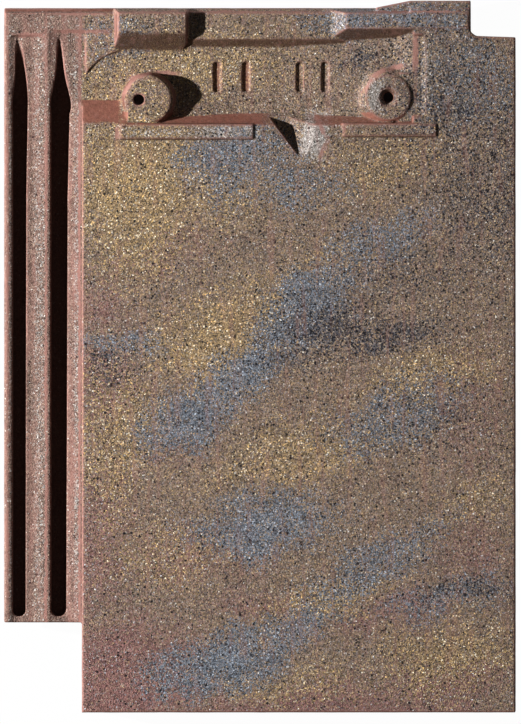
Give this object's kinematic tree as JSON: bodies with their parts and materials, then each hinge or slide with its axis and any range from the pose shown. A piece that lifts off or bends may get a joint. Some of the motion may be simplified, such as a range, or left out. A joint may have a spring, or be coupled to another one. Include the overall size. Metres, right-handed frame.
{
  "type": "clay roof tile",
  "caption": "Flat interlocking clay roof tile with a channelled side lock, a head basin with nail bosses, hanging nibs and a downturned tail nose.",
  "frame": {"origin": "centre of the tile's outline, on the level ground that its nibs and tail nose rest on", "axes": "+Y from the tail to the head, +X from the lock side to the cover side, +Z out of the weather face"},
  "size_m": [0.302, 0.42, 0.0329],
  "materials": {
    "fired_clay": "matt engobe over red clay"
  },
  "bodies": {
    "root": {"roof_tile": "fired_clay"}
  },
  "joints": []
}
